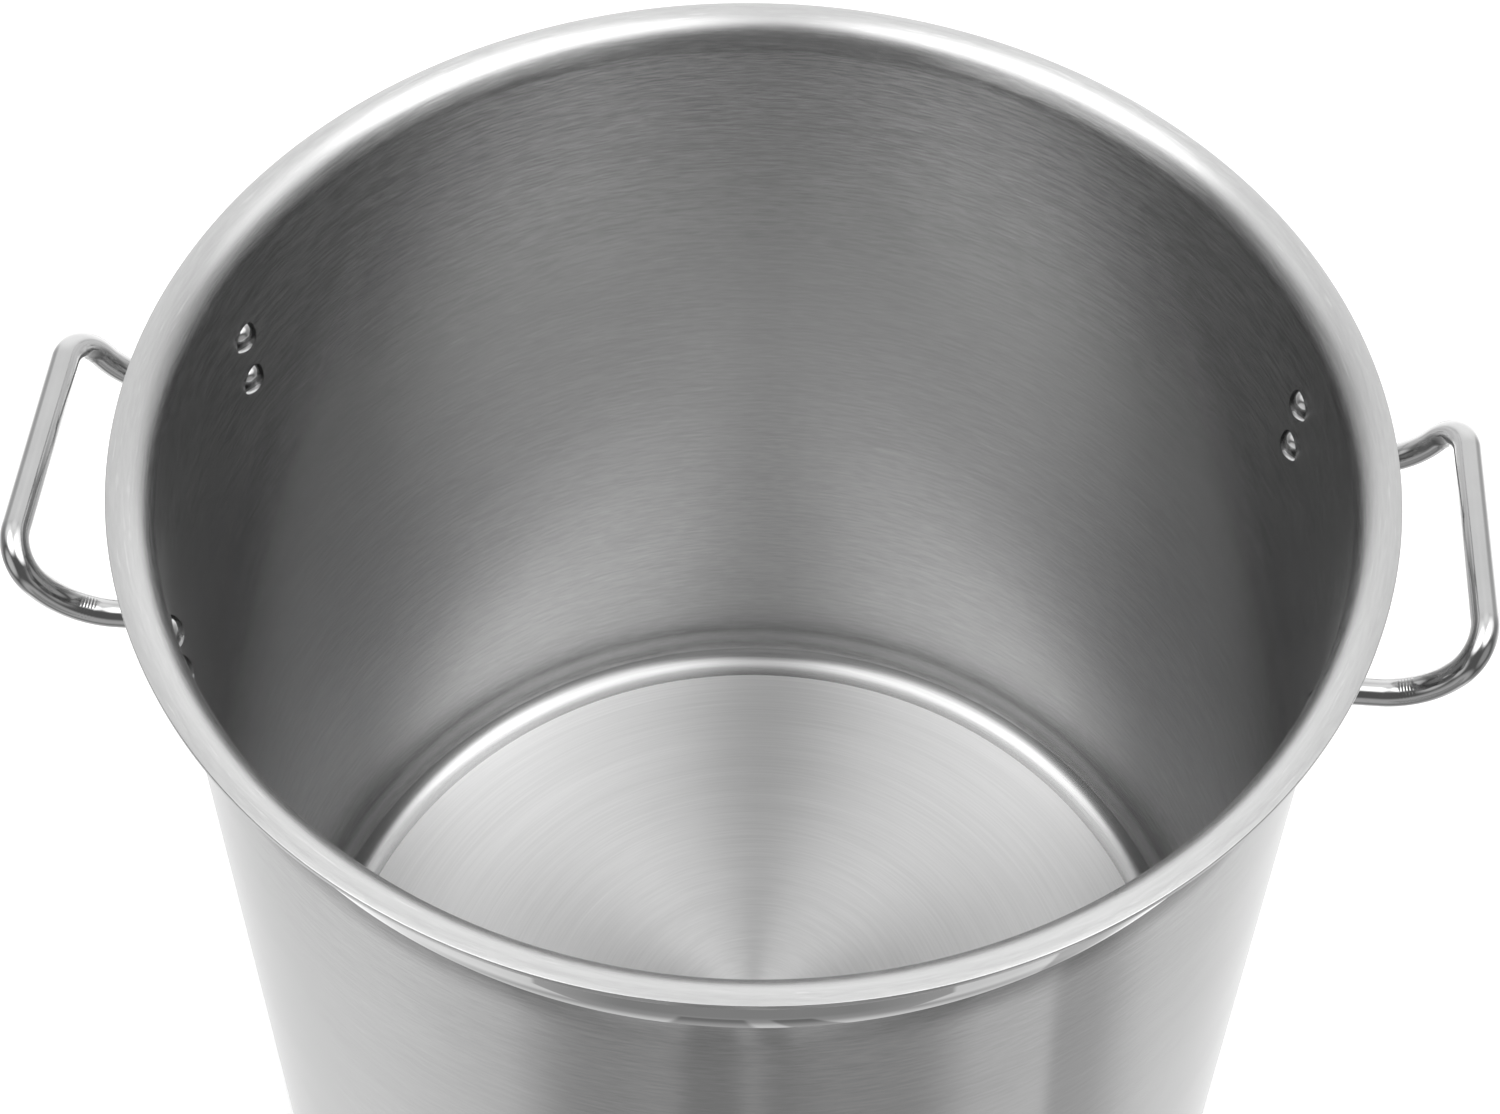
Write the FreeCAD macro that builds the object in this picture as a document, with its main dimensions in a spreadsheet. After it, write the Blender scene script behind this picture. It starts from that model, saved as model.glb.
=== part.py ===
import FreeCAD, Part

import math
import os

import Sketcher

# A large open brewing kettle of stainless steel. One drawn shell makes the floor, wall and flared rim. Under
# the floor an aluminium disc spreads the heat, closed in by a stainless capsule. Two bent tube handles are
# welded to curved plates, and each plate is held to the wall by two rivets.
#
# Frame: origin at the centre of the foot, +Z up, the handles on -X (left) and +X (right), the front at -Y.

SHEET_NAME = "Dimensions"

# alias, value (millimetres, or degrees where the note says so), note
DIMENSIONS = [
    ("inner_diameter", 450, "inside diameter of the wall"),
    ("inner_depth", 448, "floor to the top of the rim"),
    ("shell_thickness", 1.2, "sheet of the drawn shell"),
    ("corner_radius", 18, "inside radius between floor and wall"),
    ("flare_radius", 14.3, "radius of the rim's upper surface"),
    ("rim_land", 1.7, "flat ring outside the flare"),
    ("lip_width", 3.6, "how far the doubled edge reaches inwards"),
    ("lip_rounding", 0.4, "rounding on the lip's edges"),
    ("core_thickness", 5, "aluminium disc"),
    ("core_inset", 3, "disc edge inside the flat of the floor"),
    ("cap_thickness", 0.8, "sheet of the capsule"),
    ("cap_clearance", 0.2, "disc edge to capsule wall"),
    ("cap_rounding", 3, "outside rounding of the foot"),
    ("rivet_spread", 73.6, "handle's middle to each rivet pair"),
    ("rivet_drop", 59, "rim top to the middle of a rivet pair"),
    ("rivet_spacing", 25, "upper rivet to lower rivet"),
    ("rivet_head_radius", 6.7, "head inside the kettle"),
    ("rivet_head_height", 3.6, "head inside the kettle"),
    ("rivet_shank_radius", 3.2, "shank"),
    ("rivet_hole_clearance", 0.1, "shank to hole, all round"),
    ("rivet_tail_radius", 5.6, "closed head outside the plate"),
    ("rivet_tail_height", 2.4, "closed head outside the plate"),
    ("plate_thickness", 2.5, "handle plate"),
    ("plate_gap", 0.2, "handle plate to wall"),
    ("plate_height", 45, "handle plate"),
    ("plate_margin", 10, "rivet axis to the plate's outer edge"),
    ("plate_overlap", 9, "handle tube axis to the plate's inner edge"),
    ("plate_rounding", 8, "corners of the handle plate"),
    ("plate_edge_rounding", 0.6, "rim of the plate's outer face"),
    ("tube_radius", 5.45, "outside radius of the handle tube"),
    ("tube_wall", 1.5, "wall of the handle tube"),
    ("leg_spread", 57.5, "handle's middle to each leg"),
    ("leg_straight", 21, "wall to the start of a leg's upward bend"),
    ("leg_bend_radius", 31, "axis of the tube where a leg turns up"),
    ("leg_slope", 56.2, "degrees by which a leg turns up"),
    ("rise_straight", 2.2, "a leg's straight run between its two bends"),
    ("grip_bend_radius", 15.8, "axis of the tube at the grip's corners"),
]

# Places that several pieces share, each worked out from the dimensions above.
INNER_R = "(Dimensions.inner_diameter / 2)"
OUTER_R = "(Dimensions.inner_diameter / 2 + Dimensions.shell_thickness)"
FLAT_R = "(Dimensions.inner_diameter / 2 - Dimensions.corner_radius)"
FOOT_TOP = "(Dimensions.cap_thickness + Dimensions.core_thickness)"
FLOOR = f"({FOOT_TOP} + Dimensions.shell_thickness)"
RIM_TOP = f"({FLOOR} + Dimensions.inner_depth)"
FLARE_R = f"({INNER_R} + Dimensions.flare_radius)"
FLARE_FOOT = f"({RIM_TOP} - Dimensions.flare_radius)"
RIM_R = f"({FLARE_R} + Dimensions.rim_land)"
LIP_R = f"({RIM_R} - Dimensions.lip_width)"
UNDER_FLARE = "(Dimensions.flare_radius - Dimensions.shell_thickness)"
LIP_LOW = f"({RIM_TOP} - 2 * Dimensions.shell_thickness)"
CAP_R = f"({FLAT_R} - Dimensions.core_inset + Dimensions.cap_clearance + Dimensions.cap_thickness)"
PLATE_IN = f"({OUTER_R} + Dimensions.plate_gap)"
PLATE_OUT = f"({PLATE_IN} + Dimensions.plate_thickness)"
RIVET_MID = f"({RIM_TOP} - Dimensions.rivet_drop)"
RIVET_AZIMUTH = f"asin(Dimensions.rivet_spread / {OUTER_R}) / 1 deg"
RIVET_HOLE_R = "(Dimensions.rivet_shank_radius + Dimensions.rivet_hole_clearance)"
LEG_FOOT = f"sqrt({OUTER_R}^2 - Dimensions.leg_spread^2)"
LEG_TURN = "(Dimensions.leg_bend_radius * tan(Dimensions.leg_slope / 2 * 1 deg))"
RISE_RUN = f"({LEG_TURN} + Dimensions.rise_straight + Dimensions.grip_bend_radius)"
LEG_CORNER = f"({LEG_FOOT} + Dimensions.leg_straight + {LEG_TURN})"

FULL_TURN = 360
HALF_TURN = 180
NEAR = 1e-3
SIDES = {"right": 0, "left": HALF_TURN}


def make_sheet(doc):
    """The spreadsheet with every driving dimension, one row each."""
    sheet = doc.addObject("Spreadsheet::Sheet", SHEET_NAME)
    for row, (alias, value, note) in enumerate(DIMENSIONS, start=1):
        sheet.set(f"A{row}", alias)
        sheet.set(f"B{row}", str(value))
        sheet.setAlias(f"B{row}", alias)
        sheet.set(f"C{row}", note)
    doc.recompute()
    return sheet


def number(doc, expression):
    """The present value of an expression of the sheet's dimensions."""
    value = doc.getObject(SHEET_NAME).evalExpression(expression)
    return float(getattr(value, "Value", value))


def origin_plane(body, role):
    """One of the body's own origin planes."""
    return next(feature for feature in body.Origin.OriginFeatures if feature.Role == role)


def add_sketch(body, name, role):
    """An empty sketch on one of the body's origin planes."""
    sketch = body.newObject("Sketcher::SketchObject", name)
    sketch.AttachmentSupport = [(origin_plane(body, role), "")]
    sketch.MapMode = "FlatFace"
    return sketch


def minor_arc(start, end, radius, turn):
    """The arc under half a turn from start to end, and whether it runs from end to start."""
    chord = end - start
    rise = math.sqrt(radius ** 2 - (chord.Length / 2) ** 2)
    left = FreeCAD.Vector(-chord.y, chord.x, 0).normalize()
    side = 1 if turn == "left" else -1
    centre = start + chord / 2 + left * rise * side
    first, last = (start, end) if turn == "left" else (end, start)
    angles = [math.atan2(point.y - centre.y, point.x - centre.x) for point in (first, last)]
    circle = Part.Circle(centre, FreeCAD.Vector(0, 0, 1), radius)
    return Part.ArcOfCircle(circle, angles[0], angles[1]), turn == "right"


def bind(sketch, constraint, expression):
    """Add a constraint whose size follows an expression."""
    index = sketch.addConstraint(constraint)
    sketch.setExpression(f"Constraints[{index}]", expression)


def pin_coordinate(sketch, kind, edge, end, value, expression):
    """Hold one coordinate of an edge's end, on the axis itself where it is zero."""
    if expression == "0":
        axis = -2 if kind == "DistanceX" else -1
        sketch.addConstraint(Sketcher.Constraint("PointOnObject", edge, end, axis))
    else:
        bind(sketch, Sketcher.Constraint(kind, edge, end, value), expression)


def draw_outline(doc, sketch, corners):
    """A closed outline. A corner is (x, y), or (x, y, radius, turn) where an arc leaves it."""
    points = [FreeCAD.Vector(number(doc, c[0]), number(doc, c[1]), 0) for c in corners]
    ends = []
    for index, corner in enumerate(corners):
        start = points[index]
        end = points[(index + 1) % len(points)]
        if len(corner) == 2:
            edge = sketch.addGeometry(Part.LineSegment(start, end))
            ends.append((edge, 1, 2))
        else:
            arc, swapped = minor_arc(start, end, number(doc, corner[2]), corner[3])
            edge = sketch.addGeometry(arc)
            ends.append((edge, 2, 1) if swapped else (edge, 1, 2))
            bind(sketch, Sketcher.Constraint("Radius", edge, number(doc, corner[2])), corner[2])
    for index, corner in enumerate(corners):
        edge, first, _ = ends[index]
        before, _, last = ends[index - 1]
        sketch.addConstraint(Sketcher.Constraint("Coincident", before, last, edge, first))
        pin_coordinate(sketch, "DistanceX", edge, first, points[index].x, corner[0])
        pin_coordinate(sketch, "DistanceY", edge, first, points[index].y, corner[1])


def add_circle(doc, sketch, x, y, radius):
    """A circle whose centre and radius follow expressions."""
    centre = FreeCAD.Vector(number(doc, x), number(doc, y), 0)
    size = number(doc, radius)
    edge = sketch.addGeometry(Part.Circle(centre, FreeCAD.Vector(0, 0, 1), size))
    bind(sketch, Sketcher.Constraint("Radius", edge, size), radius)
    pin_coordinate(sketch, "DistanceX", edge, 3, centre.x, x)
    pin_coordinate(sketch, "DistanceY", edge, 3, centre.y, y)


def add_body(doc, label):
    """A new body, which becomes one node."""
    body = doc.addObject("PartDesign::Body", label)
    body.Label = label
    return body


def revolve(doc, body, corners, axis):
    """A full turn of an outline in the XZ plane, about the sketch's axis."""
    sketch = add_sketch(body, f"{body.Name}_outline", "XZ_Plane")
    draw_outline(doc, sketch, corners)
    turned = body.newObject("PartDesign::Revolution", f"{body.Name}_turned")
    turned.Profile = sketch
    turned.ReferenceAxis = (sketch, [axis])
    turned.Angle = FULL_TURN
    doc.recompute()
    return turned


def round_edges(doc, body, base, name, radius, wanted):
    """Fillet the edges of a feature that a test picks."""
    names = [f"Edge{i + 1}" for i, edge in enumerate(base.Shape.Edges) if wanted(edge)]
    fillet = body.newObject("PartDesign::Fillet", name)
    fillet.Base = (base, names)
    fillet.Radius = number(doc, radius)
    fillet.setExpression("Radius", radius)
    doc.recompute()
    return fillet


def turn_about_z(holder, angle):
    """Turn a body about the kettle's axis by an angle in degrees that follows an expression."""
    holder.Placement.Rotation = FreeCAD.Rotation(FreeCAD.Vector(0, 0, 1), 1)
    holder.setExpression("Placement.Rotation.Angle", angle)


def rivet_heights():
    """The heights of the two rivets of a pair."""
    half = "Dimensions.rivet_spacing / 2"
    return {"upper": f"({RIVET_MID} + {half})", "lower": f"({RIVET_MID} - {half})"}


def rivet_places():
    """Each rivet pair's name and its azimuth in degrees: a back and a front pair on each side."""
    places = {}
    for side, heading in SIDES.items():
        ahead = -1 if side == "right" else 1
        places[side, "back"] = f"({heading} + {-ahead} * {RIVET_AZIMUTH})"
        places[side, "front"] = f"({heading} + {ahead} * {RIVET_AZIMUTH})"
    return places


def cut_rivet_holes(doc, body):
    """Radial holes through the wall for every rivet pair."""
    for (side, end), azimuth in rivet_places().items():
        before = body.Shape.Volume
        sketch = add_sketch(body, f"holes_{side}_{end}", "YZ_Plane")
        sketch.AttachmentOffset = FreeCAD.Placement(
            FreeCAD.Vector(), FreeCAD.Rotation(FreeCAD.Vector(0, 1, 0), 1))
        sketch.setExpression("AttachmentOffset.Rotation.Angle", azimuth)
        for height in rivet_heights().values():
            add_circle(doc, sketch, "0", height, RIVET_HOLE_R)
        pocket = body.newObject("PartDesign::Pocket", f"pocket_{side}_{end}")
        pocket.Profile = sketch
        pocket.Reversed = True
        pocket.Length = number(doc, RIM_R)
        pocket.setExpression("Length", RIM_R)
        doc.recompute()
        if body.Shape.Volume >= before:
            raise RuntimeError(f"the rivet holes {side} {end} cut nothing")


def kettle_body(doc):
    """The drawn shell: floor, corner, wall, flare and doubled lip, with the rivet holes."""
    shell_corner = "Dimensions.corner_radius + Dimensions.shell_thickness"
    under_lip = f"({FLARE_FOOT} + sqrt({UNDER_FLARE}^2 - ({FLARE_R} - {LIP_R})^2))"
    corners = [
        ("0", FOOT_TOP),
        (FLAT_R, FOOT_TOP, shell_corner, "left"),
        (OUTER_R, f"{FOOT_TOP} + {shell_corner}"),
        (OUTER_R, FLARE_FOOT, UNDER_FLARE, "right"),
        (LIP_R, under_lip),
        (LIP_R, LIP_LOW),
        (RIM_R, LIP_LOW),
        (RIM_R, RIM_TOP),
        (FLARE_R, RIM_TOP, "Dimensions.flare_radius", "left"),
        (INNER_R, FLARE_FOOT),
        (INNER_R, f"{FLOOR} + Dimensions.corner_radius", "Dimensions.corner_radius", "right"),
        (FLAT_R, FLOOR),
        ("0", FLOOR),
    ]
    body = add_body(doc, "kettle_body")
    turned = revolve(doc, body, corners, "V_Axis")
    rim = number(doc, RIM_R)
    round_edges(doc, body, turned, "lip_rounded", "Dimensions.lip_rounding",
                lambda edge: hasattr(edge.Curve, "Radius") and abs(edge.Curve.Radius - rim) < NEAR)
    cut_rivet_holes(doc, body)
    return body


def base_core(doc):
    """The aluminium disc under the floor."""
    radius = f"({FLAT_R} - Dimensions.core_inset)"
    body = add_body(doc, "base_core")
    corners = [
        ("0", "Dimensions.cap_thickness"),
        (radius, "Dimensions.cap_thickness"),
        (radius, FOOT_TOP),
        ("0", FOOT_TOP),
    ]
    turned = revolve(doc, body, corners, "V_Axis")
    low = number(doc, "Dimensions.cap_thickness")
    edge_radius = number(doc, radius)
    round_edges(doc, body, turned, "core_rounded", "Dimensions.cap_rounding - Dimensions.cap_thickness",
                lambda edge: hasattr(edge.Curve, "Radius") and abs(edge.Curve.Radius - edge_radius) < NEAR
                and abs(edge.Curve.Center.z - low) < NEAR)
    return body


def base_cap(doc):
    """The stainless capsule round the disc, which is the kettle's foot."""
    inside_r = f"({CAP_R} - Dimensions.cap_thickness)"
    inside_rounding = "(Dimensions.cap_rounding - Dimensions.cap_thickness)"
    body = add_body(doc, "base_cap")
    corners = [
        ("0", "0"),
        (f"{CAP_R} - Dimensions.cap_rounding", "0", "Dimensions.cap_rounding", "left"),
        (CAP_R, "Dimensions.cap_rounding"),
        (CAP_R, FOOT_TOP),
        (inside_r, FOOT_TOP),
        (inside_r, "Dimensions.cap_rounding", inside_rounding, "right"),
        (f"{CAP_R} - Dimensions.cap_rounding", "Dimensions.cap_thickness"),
        ("0", "Dimensions.cap_thickness"),
    ]
    revolve(doc, body, corners, "V_Axis")
    return body


def handle_plate(doc, side, end, azimuth):
    """A plate curved to the wall, from outside its rivets to inside the handle's leg."""
    body = add_body(doc, f"plate_{side}_{end}")
    half = "Dimensions.plate_height / 2"
    sketch = add_sketch(body, f"{body.Name}_outline", "XZ_Plane")
    corners = [
        (PLATE_IN, f"{RIVET_MID} - {half}"),
        (PLATE_OUT, f"{RIVET_MID} - {half}"),
        (PLATE_OUT, f"{RIVET_MID} + {half}"),
        (PLATE_IN, f"{RIVET_MID} + {half}"),
    ]
    draw_outline(doc, sketch, corners)
    turned = body.newObject("PartDesign::Revolution", f"{body.Name}_turned")
    turned.Profile = sketch
    turned.ReferenceAxis = (sketch, ["V_Axis"])
    turned.Type = "TwoAngles"
    outboard = f"Dimensions.plate_margin / {PLATE_OUT} * {HALF_TURN} / pi"
    leg_azimuth = f"asin((Dimensions.leg_spread - Dimensions.plate_overlap) / {PLATE_OUT}) / 1 deg"
    inboard = f"{RIVET_AZIMUTH} - {leg_azimuth}"
    outer_first = (side == "right") == (end == "back")
    turned.setExpression("Angle", outboard if outer_first else inboard)
    turned.setExpression("Angle2", inboard if outer_first else outboard)
    doc.recompute()
    across = number(doc, "Dimensions.plate_thickness")
    outside = number(doc, PLATE_OUT)
    rounded = round_edges(doc, body, turned, f"{body.Name}_rounded", "Dimensions.plate_rounding",
                          lambda edge: abs(edge.Length - across) < NEAR)
    round_edges(doc, body, rounded, f"{body.Name}_eased", "Dimensions.plate_edge_rounding",
                lambda edge: all(abs(math.hypot(p.x, p.y) - outside) < NEAR for p in edge.discretize(5)))
    before = body.Shape.Volume
    holes = add_sketch(body, f"{body.Name}_holes", "YZ_Plane")
    for height in rivet_heights().values():
        add_circle(doc, holes, "0", height, RIVET_HOLE_R)
    pocket = body.newObject("PartDesign::Pocket", f"{body.Name}_pocket")
    pocket.Profile = holes
    pocket.Reversed = True
    pocket.Length = number(doc, RIM_R)
    pocket.setExpression("Length", RIM_R)
    doc.recompute()
    if body.Shape.Volume >= before:
        raise RuntimeError(f"the holes of {body.Label} cut nothing")
    turn_about_z(body, azimuth)
    return body


def rivet(doc, label, azimuth, height):
    """A rivet on a radial axis: dome inside the kettle, shank, and closed head outside the plate."""
    seat_in = f"sqrt({INNER_R}^2 - Dimensions.rivet_head_radius^2)"
    dome = "(Dimensions.rivet_head_height^2 + Dimensions.rivet_head_radius^2)" \
        " / (2 * Dimensions.rivet_head_height)"
    tail = "(Dimensions.rivet_tail_height^2 + Dimensions.rivet_tail_radius^2)" \
        " / (2 * Dimensions.rivet_tail_height)"
    corners = [
        (f"{seat_in} - Dimensions.rivet_head_height", "0"),
        (f"{PLATE_OUT} + Dimensions.rivet_tail_height", "0", tail, "left"),
        (PLATE_OUT, "Dimensions.rivet_tail_radius"),
        (PLATE_OUT, "Dimensions.rivet_shank_radius"),
        (seat_in, "Dimensions.rivet_shank_radius"),
        (seat_in, "Dimensions.rivet_head_radius", dome, "left"),
    ]
    body = add_body(doc, label)
    revolve(doc, body, corners, "H_Axis")
    turn_about_z(body, azimuth)
    body.setExpression("Placement.Base.z", height)
    return body


def rounded_path(points, radii):
    """A wire of straight runs joined by tangent arcs at its inner points."""
    edges = []
    start = points[0]
    for before, corner, after, radius in zip(points, points[1:], points[2:], radii):
        back = (before - corner).normalize()
        ahead = (after - corner).normalize()
        half = back.getAngle(ahead) / 2
        reach = radius / math.tan(half)
        centre = corner + (back + ahead).normalize() * (radius / math.sin(half))
        middle = centre + (corner - centre).normalize() * radius
        first = corner + back * reach
        last = corner + ahead * reach
        edges.append(Part.LineSegment(start, first).toShape())
        edges.append(Part.Arc(first, middle, last).toShape())
        start = last
    edges.append(Part.LineSegment(start, points[-1]).toShape())
    return Part.Wire(edges)


def handle_path(doc):
    """The axis of the handle tube, from inside the front plate to inside the back plate."""
    spread = number(doc, "Dimensions.leg_spread")
    low = number(doc, RIVET_MID)
    root = number(doc, f"{LEG_FOOT} - Dimensions.tube_radius")
    bend = number(doc, LEG_CORNER)
    grip = number(doc, f"{LEG_CORNER} + {RISE_RUN} * cos(Dimensions.leg_slope * 1 deg)")
    high = number(doc, f"{RIVET_MID} + {RISE_RUN} * sin(Dimensions.leg_slope * 1 deg)")
    front = [(root, low), (bend, low), (grip, high)]
    points = [FreeCAD.Vector(x, -spread, z) for x, z in front]
    points += [FreeCAD.Vector(x, spread, z) for x, z in reversed(front)]
    leg_bend = number(doc, "Dimensions.leg_bend_radius")
    grip_bend = number(doc, "Dimensions.grip_bend_radius")
    path = doc.addObject("Part::Feature", "handle_axis")
    path.Shape = rounded_path(points, [leg_bend, grip_bend, grip_bend, leg_bend])
    return path


def swept_tube(doc, name, path, radius):
    """A solid bar of round section along the handle's axis."""
    start = path.Shape.Edges[0].Vertexes[0].Point
    ring = doc.addObject("Part::Circle", f"{name}_section")
    ring.setExpression("Radius", radius)
    ring.Placement = FreeCAD.Placement(start, FreeCAD.Rotation(FreeCAD.Vector(0, 1, 0), 90))
    bar = doc.addObject("Part::Sweep", name)
    bar.Sections = [ring]
    bar.Spine = (path, [f"Edge{i + 1}" for i in range(len(path.Shape.Edges))])
    bar.Solid = True
    doc.recompute()
    return bar


def handle(doc, side, heading):
    """A bent tube, cut at both ends to the curve of its plates."""
    path = handle_path(doc)
    outside = swept_tube(doc, f"handle_{side}_outside", path, "Dimensions.tube_radius")
    inside = swept_tube(doc, f"handle_{side}_inside", path, "Dimensions.tube_radius - Dimensions.tube_wall")
    trim = doc.addObject("Part::Cylinder", f"handle_{side}_trim")
    trim.setExpression("Radius", PLATE_OUT)
    trim.setExpression("Height", RIM_TOP)
    solid_bar = doc.addObject("Part::Cut", f"handle_{side}_bar")
    solid_bar.Base = outside
    solid_bar.Tool = trim
    tube = doc.addObject("Part::Cut", f"handle_{side}")
    tube.Base = solid_bar
    tube.Tool = inside
    tube.Label = f"handle_{side}"
    turn_about_z(tube, str(heading))
    doc.recompute()
    return tube


def check(doc, nodes):
    """Stop unless every object recomputed and every node is one valid solid."""
    for thing in doc.Objects:
        if {"Invalid", "Error"} & set(thing.State):
            raise RuntimeError(f"{thing.Name} failed: {thing.State}")
    for node in nodes:
        shape = node.Shape
        if shape.isNull() or not shape.isValid() or len(shape.Solids) != 1:
            raise RuntimeError(f"{node.Label} is not one valid solid")


def main():
    doc = FreeCAD.newDocument("brew_kettle")
    make_sheet(doc)
    nodes = [kettle_body(doc), base_core(doc), base_cap(doc)]
    nodes += [handle(doc, side, heading) for side, heading in SIDES.items()]
    for (side, end), azimuth in rivet_places().items():
        nodes.append(handle_plate(doc, side, end, azimuth))
        for level, height in rivet_heights().items():
            nodes.append(rivet(doc, f"rivet_{side}_{end}_{level}", azimuth, height))
    doc.recompute()
    check(doc, nodes)
    os.makedirs("parts", exist_ok=True)
    for node in nodes:
        node.Shape.exportStep(f"parts/{node.Label}.step")
        print(node.Label, round(node.Shape.Volume, 1), node.Shape.BoundBox)


main()
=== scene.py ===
import math

import bmesh
import bpy
from mathutils import Matrix, Vector


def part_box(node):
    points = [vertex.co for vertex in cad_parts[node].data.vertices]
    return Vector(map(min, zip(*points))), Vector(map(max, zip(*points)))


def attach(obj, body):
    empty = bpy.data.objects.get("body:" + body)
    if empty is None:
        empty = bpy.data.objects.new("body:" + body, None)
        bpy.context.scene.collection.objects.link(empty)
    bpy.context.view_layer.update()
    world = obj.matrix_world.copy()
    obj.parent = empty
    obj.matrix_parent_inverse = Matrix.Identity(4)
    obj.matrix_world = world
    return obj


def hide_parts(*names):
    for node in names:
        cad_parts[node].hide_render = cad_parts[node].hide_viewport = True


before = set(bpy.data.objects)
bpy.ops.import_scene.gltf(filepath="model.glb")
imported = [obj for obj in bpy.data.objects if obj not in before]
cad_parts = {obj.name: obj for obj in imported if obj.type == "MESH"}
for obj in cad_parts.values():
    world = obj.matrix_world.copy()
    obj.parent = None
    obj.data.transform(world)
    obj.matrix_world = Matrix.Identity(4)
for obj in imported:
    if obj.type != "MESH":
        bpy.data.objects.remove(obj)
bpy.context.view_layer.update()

# The kettle's frame is in metres: origin at the foot's centre, +Z up, handles on -X and +X, front at -Y.
MM = 0.001

# The shell is one drawn sheet. Its flare rolls out from the top of the wall into a lip.
SHELL_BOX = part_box("kettle_body")
RIM_TOP = SHELL_BOX[1].z
RIM_RADIUS = SHELL_BOX[1].x
FLOOR_UNDERSIDE = SHELL_BOX[0].z
SHEET = 1.2 * MM
FLOOR_TOP = FLOOR_UNDERSIDE + SHEET
INNER_RADIUS = 225 * MM
OUTER_RADIUS = INNER_RADIUS + SHEET
FLARE_RADIUS = 14.3 * MM
LIP_WIDTH = 3.6 * MM
LIP_DEPTH = 2 * SHEET
LIP_ROUNDING = 0.4 * MM
CORNER_RADIUS = 18 * MM
FLAT_RADIUS = INNER_RADIUS - CORNER_RADIUS

# The mirror band below the rim ends at a fine groove.
BAND_LOW = RIM_TOP - 42 * MM
BAND_GROOVE_DEPTH = 0.12 * MM
BAND_GROOVE_WIDTH = 0.6 * MM

# The handle tube, as its axis runs from one plate to the other.
TUBE_RADIUS = 5.45 * MM
TUBE_SINK = 1.0 * MM
LEG_SPREAD = 57.5 * MM
LEG_HEIGHT = RIM_TOP - 59 * MM
LEG_STRAIGHT = 21 * MM
LEG_BEND = 31 * MM
LEG_SLOPE = math.radians(56.2)
RISE_STRAIGHT = 2.2 * MM
GRIP_BEND = 15.8 * MM
PLATE_FACE = OUTER_RADIUS + 2.7 * MM
WALL_AT_LEG = math.sqrt(OUTER_RADIUS ** 2 - LEG_SPREAD ** 2)
TUBE_END = math.sqrt(PLATE_FACE ** 2 - LEG_SPREAD ** 2) - TUBE_SINK

# The creases that bending left on the upper side of each leg, and the bead that welds it to its plate.
CREASE_START = LEG_STRAIGHT + 7.5 * MM
CREASE_LENGTH = 6.8 * MM
CREASE_COUNT = 5
CREASE_HEIGHT = 0.11 * MM
BEAD_RADIUS = 1.1 * MM
BEAD_RIPPLES = 26
BEAD_RIPPLE_SHARE = 0.07

# How finely the shapes are divided.
LATHE_STEPS = 360
RUN_STEPS = 24
ARC_STEPS = 24
UNDER_ARC_STEPS = 20
LIP_STEPS = 5
BAND_STEPS = 4
UNDERSIDE_STEPS = 8
TUBE_SIDES = 36
TUBE_STEP = 0.35 * MM
BEND_LEAST_STEPS = 8
BEAD_SIDES = 12
BEAD_STEPS = 6 * BEAD_RIPPLES
SHARP_ANGLE = math.radians(35)

# The shell's material slots.
INSIDE, OUTSIDE, BAND, FLOOR, CORNER = range(5)

# Stretches of the wall where its brush marks change, and near the rim where its colour is lightened as a
# painted highlight, as depths below the rim: the low end, then the high end.
MARKS_SHOW_MORE = (160 * MM, 30 * MM)
MARKS_FADE = (12 * MM, 5 * MM)
MARKS_CUT_DEEPER = (130 * MM, 15 * MM)
MARKS_SMOOTH = (10 * MM, 4 * MM)
# Near the rim the steel's colour is painted up to 8% lighter towards the top: a painted highlight.
RIM_PAINTED_HIGHLIGHT = (14 * MM, 3 * MM)

# The studio's soft round lamps: azimuth from the front towards +X, elevation, the angles from the lamp's
# middle where it starts to fade and where it ends, all in degrees, and strength.
LAMPS = (
    (0, 90, 10, 40, 0.6),
    (0, -90, 10, 45, 0.32), (0, -90, 4, 20, 0.4),
    (0, -26, 12, 34, 0.42),
    (62, 64, 8, 27, 2.2), (-62, 64, 8, 27, 2.2),
    (95, 52, 8, 28, 1.15), (-95, 52, 8, 28, 0.7),
    (180, 10, 10, 40, 0.15),
    (105, -40, 10, 45, 0.15), (-105, -40, 10, 45, 0.2),
    (62, -45, 10, 28, 0.2), (-62, -45, 10, 28, 0.3),
    (50, 10, 10, 30, 0.28), (-50, 10, 10, 30, 0.6),
)
STAGE_SIZE = 40.0


# ---------------------------------------------------------------- shapes


def arc_points(centre, radius, start, end, steps):
    """Points of an arc in the (radius, height) plane, angles in degrees, both ends included."""
    points = []
    for step in range(steps + 1):
        angle = math.radians(start + (end - start) * step / steps)
        points.append((centre[0] + radius * math.cos(angle), centre[1] + radius * math.sin(angle)))
    return points


def straight(start, end, steps):
    """Points along a straight run, without its first one."""
    return [(start[0] + (end[0] - start[0]) * i / steps, start[1] + (end[1] - start[1]) * i / steps)
            for i in range(1, steps + 1)]


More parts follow.
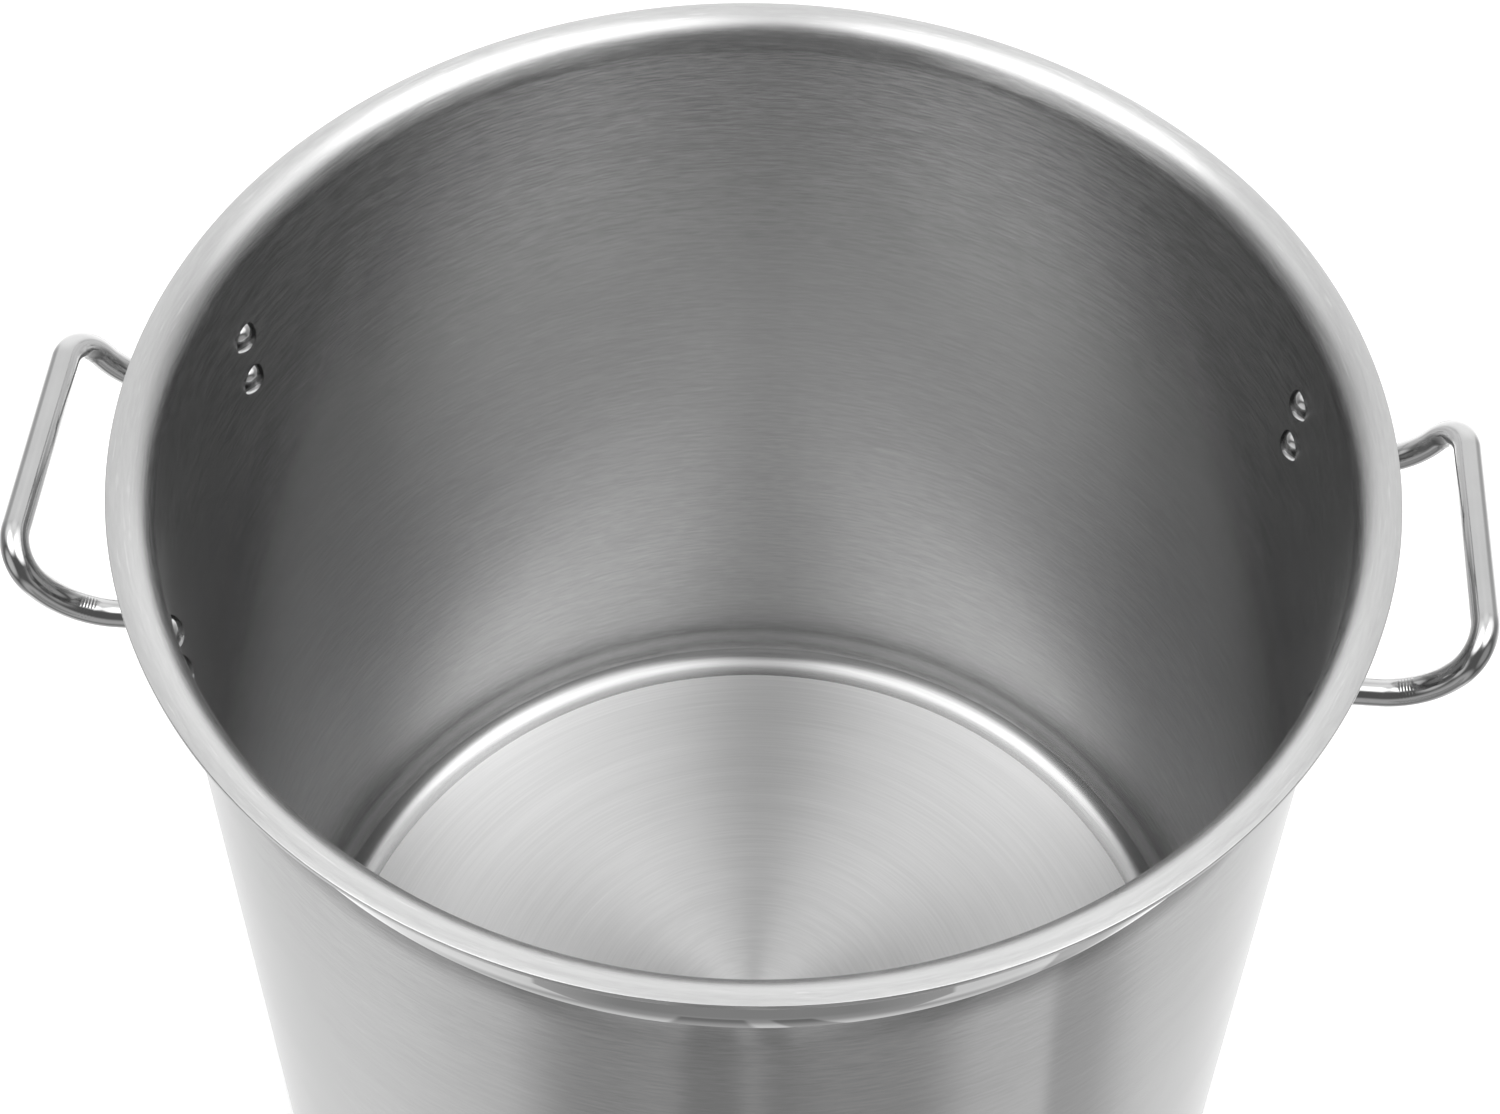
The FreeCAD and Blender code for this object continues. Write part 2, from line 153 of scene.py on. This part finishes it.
def shell_outline():
    """The sheet's outline, from the middle of the floor up the wall, round the rim and back underneath."""
    flare = (INNER_RADIUS + FLARE_RADIUS, RIM_TOP - FLARE_RADIUS)
    outline = [(0.0, FLOOR_TOP)]
    outline += straight((0.0, FLOOR_TOP), (FLAT_RADIUS, FLOOR_TOP), RUN_STEPS)
    outline += arc_points((FLAT_RADIUS, FLOOR_TOP + CORNER_RADIUS), CORNER_RADIUS, -90, 0, ARC_STEPS)[1:]
    outline += straight((INNER_RADIUS, FLOOR_TOP + CORNER_RADIUS), (INNER_RADIUS, flare[1]), RUN_STEPS)
    outline += arc_points(flare, FLARE_RADIUS, 180, 90, ARC_STEPS)[1:]
    lip_low = RIM_TOP - LIP_DEPTH
    lip_edge = RIM_RADIUS - LIP_ROUNDING
    outline += arc_points((lip_edge, RIM_TOP - LIP_ROUNDING), LIP_ROUNDING, 90, 0, LIP_STEPS)
    outline += arc_points((lip_edge, lip_low + LIP_ROUNDING), LIP_ROUNDING, 0, -90, LIP_STEPS)
    under = FLARE_RADIUS - SHEET
    lip_inner = RIM_RADIUS - LIP_WIDTH
    meet = math.degrees(math.acos((lip_inner - flare[0]) / under))
    outline.append((lip_inner, lip_low))
    outline += arc_points(flare, under, meet, 180, UNDER_ARC_STEPS)
    half = BAND_GROOVE_WIDTH / 2
    outline += straight((OUTER_RADIUS, flare[1]), (OUTER_RADIUS, BAND_LOW + half), BAND_STEPS)
    outline.append((OUTER_RADIUS - BAND_GROOVE_DEPTH, BAND_LOW))
    outline.append((OUTER_RADIUS, BAND_LOW - half))
    low = FLOOR_UNDERSIDE + CORNER_RADIUS + SHEET
    outline += straight((OUTER_RADIUS, BAND_LOW - half), (OUTER_RADIUS, low), RUN_STEPS)
    outline += arc_points((FLAT_RADIUS, low), CORNER_RADIUS + SHEET, 0, -90, UNDER_ARC_STEPS)[1:]
    outline += straight((FLAT_RADIUS, FLOOR_UNDERSIDE), (0.0, FLOOR_UNDERSIDE), UNDERSIDE_STEPS)
    return outline


def add_object(name, shape):
    """Put a bmesh in the scene as an object, smooth except across its sharp edges."""
    mesh = bpy.data.meshes.new(name)
    shape.to_mesh(mesh)
    shape.free()
    for face in mesh.polygons:
        face.use_smooth = True
    mesh.set_sharp_from_angle(angle=SHARP_ANGLE)
    piece = bpy.data.objects.new(name, mesh)
    bpy.context.scene.collection.objects.link(piece)
    return piece


def lathe(name, outline):
    """A closed solid of revolution about Z. The outline's first and last points lie on the axis."""
    shape = bmesh.new()
    rings = []
    for radius, height in outline:
        if radius == 0:
            rings.append([shape.verts.new((0, 0, height))])
            continue
        ring = []
        for step in range(LATHE_STEPS):
            angle = 2 * math.pi * step / LATHE_STEPS
            ring.append(shape.verts.new((radius * math.cos(angle), radius * math.sin(angle), height)))
        rings.append(ring)
    for inner, outer in zip(rings, rings[1:]):
        for step in range(LATHE_STEPS):
            after = (step + 1) % LATHE_STEPS
            if len(inner) == 1:
                shape.faces.new((inner[0], outer[step], outer[after]))
            elif len(outer) == 1:
                shape.faces.new((inner[step], outer[0], inner[after]))
            else:
                shape.faces.new((inner[step], outer[step], outer[after], inner[after]))
    shape.normal_update()
    return add_object(name, shape)


def join_rings(shape, first, second):
    """A band of four-sided faces between two rings of as many points."""
    for step in range(len(first)):
        after = (step + 1) % len(first)
        shape.faces.new((first[step], first[after], second[after], second[step]))


def rounded_route(points, bends, step_length):
    """Points along straight runs joined by tangent arcs."""
    route = []
    start = points[0]
    for before, corner, after, radius in zip(points, points[1:], points[2:], bends):
        back = (before - corner).normalized()
        ahead = (after - corner).normalized()
        half = back.angle(ahead) / 2
        reach = radius / math.tan(half)
        centre = corner + (back + ahead).normalized() * (radius / math.sin(half))
        first = corner + back * reach
        last = corner + ahead * reach
        count = max(1, round((first - start).length / step_length))
        route += [start.lerp(first, i / count) for i in range(count)]
        turn = math.pi - 2 * half
        count = max(BEND_LEAST_STEPS, round(radius * turn / step_length))
        arm = first - centre
        axis = arm.cross(last - centre).normalized()
        route += [centre + Matrix.Rotation(turn * i / count, 3, axis) @ arm for i in range(count)]
        start = last
    count = max(1, round((points[-1] - start).length / step_length))
    route += [start.lerp(points[-1], i / count) for i in range(count + 1)]
    return route


def handle_route():
    """The axis of the right handle, from inside the front plate to inside the back plate."""
    turn = LEG_BEND * math.tan(LEG_SLOPE / 2)
    rise = turn + RISE_STRAIGHT + GRIP_BEND
    corner = WALL_AT_LEG + LEG_STRAIGHT + turn
    grip = (corner + rise * math.cos(LEG_SLOPE), LEG_HEIGHT + rise * math.sin(LEG_SLOPE))
    front = [(TUBE_END, LEG_HEIGHT), (corner, LEG_HEIGHT), grip]
    points = [Vector((x, -LEG_SPREAD, z)) for x, z in front]
    points += [Vector((x, LEG_SPREAD, z)) for x, z in reversed(front)]
    return rounded_route(points, [LEG_BEND, GRIP_BEND, GRIP_BEND, LEG_BEND], TUBE_STEP)


def crease(travel, upward):
    """How far the tube's surface stands proud where its leg starts to bend.

    travel is the distance along the tube from its nearer end. upward is how far that side of it faces up.
    """
    start = WALL_AT_LEG + CREASE_START - TUBE_END
    along = (travel - start) / CREASE_LENGTH
    if not 0 < along < 1 or upward < 0:
        return 0.0
    ridge = 0.5 - 0.5 * math.cos(2 * math.pi * CREASE_COUNT * along)
    return CREASE_HEIGHT * ridge * upward * math.sin(math.pi * along) ** 0.5


def tube(name, route, side):
    """The handle's round bar along its route. side is +1 for the right handle and -1 for the left."""
    travels = [0.0]
    for before, point in zip(route, route[1:]):
        travels.append(travels[-1] + (point - before).length)
    shape = bmesh.new()
    rings = []
    across = Vector((0, 1, 0))
    for index, point in enumerate(route):
        ahead = route[min(index + 1, len(route) - 1)] - route[max(index - 1, 0)]
        ahead.normalize()
        across = (across - ahead * across.dot(ahead)).normalized()
        other = ahead.cross(across)
        from_end = min(travels[index], travels[-1] - travels[index])
        ring = []
        for step in range(TUBE_SIDES):
            angle = 2 * math.pi * step / TUBE_SIDES
            outward = across * math.cos(angle) + other * math.sin(angle)
            place = point + outward * (TUBE_RADIUS + crease(from_end, outward.z))
            ring.append(shape.verts.new((place.x * side, place.y * side, place.z)))
        rings.append(ring)
    for first, second in zip(rings, rings[1:]):
        join_rings(shape, first, second)
    shape.faces.new(list(reversed(rings[0])))
    shape.faces.new(rings[-1])
    bmesh.ops.recalc_face_normals(shape, faces=shape.faces)
    return add_object(name, shape)


def weld_bead(name, side, end):
    """The rippled bead round one leg, where it meets its plate.

    side is +1 for the right handle and -1 for the left, end is +1 for its back leg and -1 for its front one.
    """
    shape = bmesh.new()
    rings = []
    for step in range(BEAD_STEPS):
        turn = 2 * math.pi * step / BEAD_STEPS
        y = LEG_SPREAD + TUBE_RADIUS * math.cos(turn)
        z = LEG_HEIGHT + TUBE_RADIUS * math.sin(turn)
        middle = Vector((math.sqrt(PLATE_FACE ** 2 - y ** 2), y, z))
        outward = Vector((0, math.cos(turn), math.sin(turn)))
        radius = BEAD_RADIUS * (1 + BEAD_RIPPLE_SHARE * math.cos(BEAD_RIPPLES * turn))
        ring = []
        for corner in range(BEAD_SIDES):
            angle = 2 * math.pi * corner / BEAD_SIDES
            place = middle + (Vector((1, 0, 0)) * math.cos(angle) + outward * math.sin(angle)) * radius
            ring.append(shape.verts.new((place.x * side, place.y * end, place.z)))
        rings.append(ring)
    for first, second in zip(rings, rings[1:] + rings[:1]):
        join_rings(shape, first, second)
    bmesh.ops.recalc_face_normals(shape, faces=shape.faces)
    return add_object(name, shape)


# ---------------------------------------------------------------- materials


class Nodes:
    """Adds nodes to a tree and links them. An input is a socket or a plain value."""

    def __init__(self, tree):
        self.tree = tree

    def feed(self, socket, value):
        if isinstance(value, bpy.types.NodeSocket):
            self.tree.links.new(value, socket)
        else:
            socket.default_value = value

    def add(self, kind, **settings):
        node = self.tree.nodes.new(kind)
        for name, value in settings.items():
            setattr(node, name, value)
        return node

    def math(self, operation, first, second=0.0, third=0.0):
        node = self.add("ShaderNodeMath", operation=operation)
        for socket, value in zip(node.inputs, (first, second, third)):
            self.feed(socket, value)
        return node.outputs[0]

    def spread(self, value, low, high, to_low, to_high, smooth=False):
        """A value taken from one range to another, clamped."""
        node = self.add("ShaderNodeMapRange", interpolation_type="SMOOTHSTEP" if smooth else "LINEAR")
        for name, given in (("Value", value), ("From Min", low), ("From Max", high),
                            ("To Min", to_low), ("To Max", to_high)):
            self.feed(node.inputs[name], given)
        return node.outputs["Result"]

    def combine(self, x, y, z):
        node = self.add("ShaderNodeCombineXYZ")
        for socket, value in zip(node.inputs, (x, y, z)):
            self.feed(socket, value)
        return node.outputs[0]

    def noise(self, vector, scale=1.0, detail=2.0):
        node = self.add("ShaderNodeTexNoise")
        self.feed(node.inputs["Vector"], vector)
        node.inputs["Scale"].default_value = scale
        node.inputs["Detail"].default_value = detail
        return node.outputs["Fac"]

    def grey(self, level):
        """A colour socket from one level."""
        node = self.add("ShaderNodeCombineColor")
        for socket in node.inputs[:3]:
            self.feed(socket, level)
        return node.outputs[0]

    def bump(self, height, distance):
        node = self.add("ShaderNodeBump")
        self.feed(node.inputs["Height"], height)
        node.inputs["Distance"].default_value = distance
        return node.outputs["Normal"]


def new_metal(name, anisotropy=0.0):
    """A metal material: the material, its nodes and its Principled shader."""
    material = bpy.data.materials.new(name)
    material.use_nodes = True
    nodes = Nodes(material.node_tree)
    shader = material.node_tree.nodes["Principled BSDF"]
    shader.inputs["Metallic"].default_value = 1.0
    shader.inputs["Anisotropic"].default_value = anisotropy
    return material, nodes, shader


def surface_point(nodes):
    """Sockets of a surface point in the kettle's frame: x, y, z and the distance from its axis."""
    node = nodes.add("ShaderNodeSeparateXYZ")
    nodes.feed(node.inputs[0], nodes.add("ShaderNodeTexCoord").outputs["Object"])
    x, y, z = node.outputs
    square = nodes.math("ADD", nodes.math("MULTIPLY", x, x), nodes.math("MULTIPLY", y, y))
    never_zero = 1e-8
    return x, y, z, nodes.math("SQRT", nodes.math("ADD", square, never_zero))


def brush_marks(nodes, point, length, width, waver=0.0):
    """Noise drawn out round the kettle's axis into marks of one length and width, in metres.

    waver is how far the marks stray up and down as they go round.
    """
    x, y, z, radius = point
    around_x = nodes.math("DIVIDE", x, radius)
    around_y = nodes.math("DIVIDE", y, radius)
    turns = INNER_RADIUS / length
    along = nodes.math("ADD", radius, z)
    if waver:
        stray = nodes.math("MULTIPLY", around_x, around_y)
        along = nodes.math("ADD", along, nodes.math("MULTIPLY", stray, waver))
    return nodes.noise(nodes.combine(nodes.math("MULTIPLY", around_x, turns),
                                     nodes.math("MULTIPLY", around_y, turns),
                                     nodes.math("DIVIDE", along, width)))


def below_rim(nodes, point, depths, to_low, to_high):
    """A value that changes with height between two depths below the rim."""
    z = point[2]
    return nodes.spread(z, RIM_TOP - depths[0], RIM_TOP - depths[1], to_low, to_high)


def brushed_steel(name, grey, roughness, anisotropy, depth, length=9 * MM, contrast=0.07, width=0.6 * MM):
    """Stainless steel brushed round the kettle's axis.

    depth scales how far its marks cut, length how far they run and width how wide they are, in metres.
    contrast is how far they lighten and darken it. The tangent runs round the axis, and a quarter turn
    stretches the reflections across the marks.
    """
    material, nodes, shader = new_metal(name, anisotropy)
    shader.inputs["Anisotropic Rotation"].default_value = 0.25
    tangent = nodes.add("ShaderNodeTangent", direction_type="RADIAL", axis="Z")
    nodes.feed(shader.inputs["Tangent"], tangent.outputs["Tangent"])

    point = surface_point(nodes)
    fine = brush_marks(nodes, point, length, width)
    long = brush_marks(nodes, point, 4 * length, 1.8 * width, 1.5 * MM)
    clouds = brush_marks(nodes, point, 10 * length, 30 * MM)
    scratches = brush_marks(nodes, point, 2 * length, 1.3 * width, -4 * MM)
    marks = nodes.math("ADD", nodes.math("MULTIPLY", fine, 0.6), nodes.math("MULTIPLY", long, 0.4))

    visible = nodes.math("MULTIPLY",
                         below_rim(nodes, point, MARKS_SHOW_MORE, contrast, 1.7 * contrast),
                         below_rim(nodes, point, MARKS_FADE, 1.0, 0.2))
    level = nodes.math("MULTIPLY_ADD", nodes.spread(marks, 0.38, 0.62, -grey, grey), visible, grey)
    # The last share paints a highlight: the colour grows lighter towards the rim.
    for share in (nodes.spread(clouds, 0.3, 0.7, 0.98, 1.02),
                  nodes.spread(scratches, 0.64, 0.72, 1.0, 1 + contrast),
                  below_rim(nodes, point, RIM_PAINTED_HIGHLIGHT, 1.0, 1.08)):
        level = nodes.math("MULTIPLY", level, share)
    nodes.feed(shader.inputs["Base Color"], nodes.grey(level))

    nodes.feed(shader.inputs["Roughness"],
               nodes.spread(marks, 0.3, 0.7, roughness * (1 - contrast), roughness * (1 + contrast)))

    coarse = nodes.math("MULTIPLY",
                        below_rim(nodes, point, MARKS_CUT_DEEPER, 1.0, 5.0),
                        below_rim(nodes, point, MARKS_SMOOTH, 1.0, 0.1))
    height = nodes.math("MULTIPLY", nodes.math("ADD", fine, nodes.math("MULTIPLY", long, 0.6)), coarse)
    nodes.feed(shader.inputs["Normal"], nodes.bump(height, depth))
    return material


def polished_steel(name, grey, roughness, grain, depth):
    """Bright polished steel with the faint unevenness that forming and buffing leave.

    grain is the size of that unevenness and depth scales its height, in metres.
    """
    material, nodes, shader = new_metal(name)
    position = nodes.add("ShaderNodeTexCoord").outputs["Object"]
    uneven = nodes.noise(position, 1 / grain, 3.0)
    buffed = nodes.noise(position, 9 / grain)
    level = nodes.spread(uneven, 0.3, 0.7, grey * 0.97, grey * 1.03)
    nodes.feed(shader.inputs["Base Color"], nodes.grey(level))
    nodes.feed(shader.inputs["Roughness"], nodes.spread(buffed, 0.3, 0.7, roughness * 0.7, roughness * 1.3))
    nodes.feed(shader.inputs["Normal"], nodes.bump(uneven, depth))
    return material


def dress(piece, *materials):
    """Give a piece its material slots."""
    piece.data.materials.clear()
    for material in materials:
        piece.data.materials.append(material)


# ---------------------------------------------------------------- pieces


def shell_slot(face):
    """The material slot of one of the shell's faces."""
    centre = face.center
    radius = math.hypot(centre.x, centre.y)
    facing_out = face.normal.x * centre.x + face.normal.y * centre.y > 0 and radius > INNER_RADIUS
    facing_down = face.normal.z < -0.5
    under_lip = RIM_TOP - 2.5 * SHEET
    if facing_down and centre.z < FLOOR_TOP:
        return OUTSIDE
    if facing_out and centre.z < under_lip:
        return BAND if centre.z > BAND_LOW else OUTSIDE
    if radius < FLAT_RADIUS and centre.z < FLOOR_TOP + MM:
        return FLOOR
    # The faces round the floor's corner get the darker material, which paints shade where the floor meets the
    # wall.
    if centre.z < FLOOR_TOP + CORNER_RADIUS / 3:
        return CORNER
    return INSIDE


def make_shell():
    """The kettle's shell. Its materials are in the order of its slots."""
    shell = lathe("shell", shell_outline())
    dress(
        shell,
        brushed_steel("brushed_inside", 0.55, roughness=0.23, anisotropy=0.99, depth=1.5e-5,
                      length=8 * MM, contrast=0.09, width=1.0 * MM),
        brushed_steel("brushed_outside", 0.54, roughness=0.22, anisotropy=0.99, depth=5e-6,
                      length=8 * MM, contrast=0.05, width=0.9 * MM),
        polished_steel("polished_band", 0.56, roughness=0.015, grain=30 * MM, depth=1e-6),
        brushed_steel("brushed_floor", 0.65, roughness=0.36, anisotropy=0.97, depth=1e-6,
                      length=70 * MM, contrast=0.04, width=0.9 * MM),
        # The corner fillet is the same sheet given a darker grey: painted shade in the corner.
        brushed_steel("brushed_corner_painted_shade", 0.39, roughness=0.17, anisotropy=0.99, depth=4e-6,
                      length=30 * MM, contrast=0.05),
    )
    for face in shell.data.polygons:
        face.material_index = shell_slot(face)
    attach(shell, "root")
    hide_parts("kettle_body")


def make_handles():
    """Two bars, each with the two beads that weld it to its plates."""
    steel = polished_steel("polished_handle", 0.57, roughness=0.13, grain=14 * MM, depth=1e-5)
    route = handle_route()
    for side, sign in (("right", 1), ("left", -1)):
        bar = tube(f"handle_{side}_tube", route, sign)
        dress(bar, steel)
        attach(bar, "root")
        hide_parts(f"handle_{side}")
        for end, way in (("back", 1), ("front", -1)):
            bead = weld_bead(f"handle_{side}_weld_{end}", sign, way)
            dress(bead, steel)
            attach(bead, "root")


def dress_cad_nodes():
    """Materials of the nodes whose CAD shape is kept."""
    rivet_steel = polished_steel("rivet_steel", 0.66, roughness=0.07, grain=5 * MM, depth=1e-5)
    plate_steel = polished_steel("plate_steel", 0.60, roughness=0.26, grain=8 * MM, depth=1e-5)
    foot_steel = brushed_steel("foot_steel", 0.55, roughness=0.30, anisotropy=0.9, depth=4e-6)
    core_metal = polished_steel("core_aluminium", 0.75, roughness=0.42, grain=6 * MM, depth=2e-5)
    for name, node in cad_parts.items():
        if name.startswith("rivet"):
            dress(node, rivet_steel)
        elif name.startswith("plate"):
            dress(node, plate_steel)
        elif name == "base_cap":
            dress(node, foot_steel)
        elif name == "base_core":
            dress(node, core_metal)


# ---------------------------------------------------------------- stage, camera and light


def make_camera():
    """The view down into the kettle from above its front."""
    camera = bpy.data.objects.new("camera", bpy.data.cameras.new("camera"))
    bpy.context.scene.collection.objects.link(camera)
    camera.location = (0.0408, -0.6985, 1.2913)
    camera.rotation_euler = [math.radians(turn) for turn in (37.60, -2.89, 2.34)]
    camera.data.sensor_width = 36
    camera.data.lens = 69.6
    camera.data.shift_x = -0.1047
    camera.data.clip_start = 0.01
    bpy.context.scene.camera = camera


def make_floor():
    """A plain white floor that glows a little, and that the steel's reflections don't see."""
    mesh = bpy.data.meshes.new("floor")
    corners = [(x * STAGE_SIZE, y * STAGE_SIZE, 0) for x, y in ((-1, -1), (1, -1), (1, 1), (-1, 1))]
    mesh.from_pydata(corners, [], [(0, 1, 2, 3)])
    floor = bpy.data.objects.new("floor", mesh)
    bpy.context.scene.collection.objects.link(floor)
    material = bpy.data.materials.new("floor_white")
    material.use_nodes = True
    shader = material.node_tree.nodes["Principled BSDF"]
    shader.inputs["Base Color"].default_value = (0.9, 0.9, 0.9, 1)
    shader.inputs["Roughness"].default_value = 0.8
    shader.inputs["Emission Color"].default_value = (1, 1, 1, 1)
    shader.inputs["Emission Strength"].default_value = 0.35
    mesh.materials.append(material)
    floor.visible_glossy = False


def toward(azimuth, elevation):
    """A direction from the kettle, by its angle from the front towards +X and its height, in degrees."""
    turn, rise = math.radians(azimuth), math.radians(elevation)
    return (math.cos(rise) * math.sin(turn), -math.cos(rise) * math.cos(turn), math.sin(rise))


class Sky(Nodes):
    """Nodes of a world whose light depends on direction only."""

    def __init__(self, tree):
        super().__init__(tree)
        self.direction = self.add("ShaderNodeTexCoord").outputs["Generated"]
        self.height = self.facing((0, 0, 1))
        self.behind = self.facing((0, 1, 0))
        self.azimuth = self.math("ARCTAN2", self.facing((1, 0, 0)), self.facing((0, -1, 0)))

    def facing(self, axis):
        """The share of the direction that lies along an axis."""
        node = self.add("ShaderNodeVectorMath", operation="DOT_PRODUCT")
        self.feed(node.inputs[0], self.direction)
        node.inputs[1].default_value = axis
        return node.outputs["Value"]

    def glow(self, azimuth, elevation, inner, outer, strength):
        """A round soft light, full out to one angle from its middle and gone at another."""
        near, far = math.cos(math.radians(inner)), math.cos(math.radians(outer))
        return self.spread(self.facing(toward(azimuth, elevation)), far, near, 0, strength, smooth=True)

    def sector(self, low, high, edge):
        """1 between two azimuths and 0 outside them, with edges of a given width, all in degrees."""
        low, high, edge = (math.radians(angle) for angle in (low, high, edge))
        rise = self.spread(self.azimuth, low - edge, low, 0, 1, smooth=True)
        return self.math("MULTIPLY", rise, self.spread(self.azimuth, high, high + edge, 1, 0, smooth=True))

    def slab(self, azimuth, low, high, near_edge, far_edge):
        """1 where the share along a level axis lies between two values, with edges of two widths."""
        share = self.facing(toward(azimuth, 0))
        rise = self.spread(share, low - near_edge, low, 0, 1, smooth=True)
        return self.math("MULTIPLY", rise, self.spread(share, high, high + far_edge, 1, 0, smooth=True))

    def darken(self, light, area, share):
        """The light with one share of it taken away over an area."""
        return self.math("MULTIPLY", light, self.math("SUBTRACT", 1, self.math("MULTIPLY", area, share)))


def room_light(sky):
    """The studio's walls, bright behind the kettle and dim behind the camera, and its table, dim in front."""
    walls = sky.spread(sky.behind, -0.3, 1.0, 0.13, 1.2, smooth=True)
    low_behind = sky.math("MULTIPLY", sky.spread(sky.behind, 0.0, 0.9, 0, 0.45, smooth=True),
                          sky.spread(sky.height, -0.5, 0.2, 1, 0, smooth=True))
    table = sky.math("MULTIPLY", sky.spread(sky.height, -0.95, -0.92, 0, 0.4),
                     sky.spread(sky.height, -0.82, -0.75, 1, 0))
    in_front = sky.sector(-43, 46, 1.5)
    table = sky.math("MULTIPLY", table, sky.math("SUBTRACT", 1, in_front))
    return sky.math("ADD", sky.math("ADD", walls, low_behind), table)


def dark_screens(sky, light):
    """The light less its dark screens.

    Two low strips run from front to back and leave out the one height that the mirror band reflects.
    Another is on the right, and a round one stands on each side.
    """
    below = sky.spread(sky.height, -0.5, -0.2, 1, 0, smooth=True)
    past_band = sky.math("ADD", sky.spread(sky.height, -0.85, -0.84, 0, 1),
                         sky.spread(sky.height, -0.92, -0.91, 1, 0))
    strips = sky.math("MULTIPLY", past_band, below)
    light = sky.darken(light, sky.math("MULTIPLY", strips, sky.slab(90, -0.09, 0.005, 0.012, 0.012)), 0.42)
    light = sky.darken(light, sky.math("MULTIPLY", strips, sky.slab(90, 0.06, 0.115, 0.012, 0.012)), 0.45)
    right = sky.math("MULTIPLY", below, sky.spread(sky.facing(toward(35, 0)), 0.0, 0.1, 0, 1))
    light = sky.darken(light, sky.math("MULTIPLY", right, sky.slab(125, 0.30, 0.36, 0.012, 0.12)), 0.36)
    for azimuth in (118, -118):
        light = sky.darken(light, sky.glow(azimuth, 5, 10, 30, 1), 0.45)
    return light


def make_world():
    """A soft studio round the kettle, seen by everything but the camera, which sees plain white."""
    scene = bpy.context.scene
    world = bpy.data.worlds.new("studio")
    scene.world = world
    world.use_nodes = True
    sky = Sky(world.node_tree)
    light = room_light(sky)
    for lamp in LAMPS:
        light = sky.math("ADD", light, sky.glow(*lamp))
    light = dark_screens(sky, light)
    background = world.node_tree.nodes["Background"]
    background.inputs["Color"].default_value = (1, 1, 1, 1)
    sky.feed(background.inputs["Strength"], light)
    backdrop = sky.add("ShaderNodeBackground")
    backdrop.inputs["Color"].default_value = (1, 1, 1, 1)
    backdrop.inputs["Strength"].default_value = 1.0
    mix = sky.add("ShaderNodeMixShader")
    sky.feed(mix.inputs[0], sky.add("ShaderNodeLightPath").outputs["Is Camera Ray"])
    sky.feed(mix.inputs[1], background.outputs[0])
    sky.feed(mix.inputs[2], backdrop.outputs[0])
    sky.feed(world.node_tree.nodes["World Output"].inputs["Surface"], mix.outputs[0])
    scene.view_settings.view_transform = "Standard"
    scene.cycles.max_bounces = 16
    scene.cycles.glossy_bounces = 12


make_camera()
make_shell()
make_handles()
dress_cad_nodes()
make_floor()
make_world()
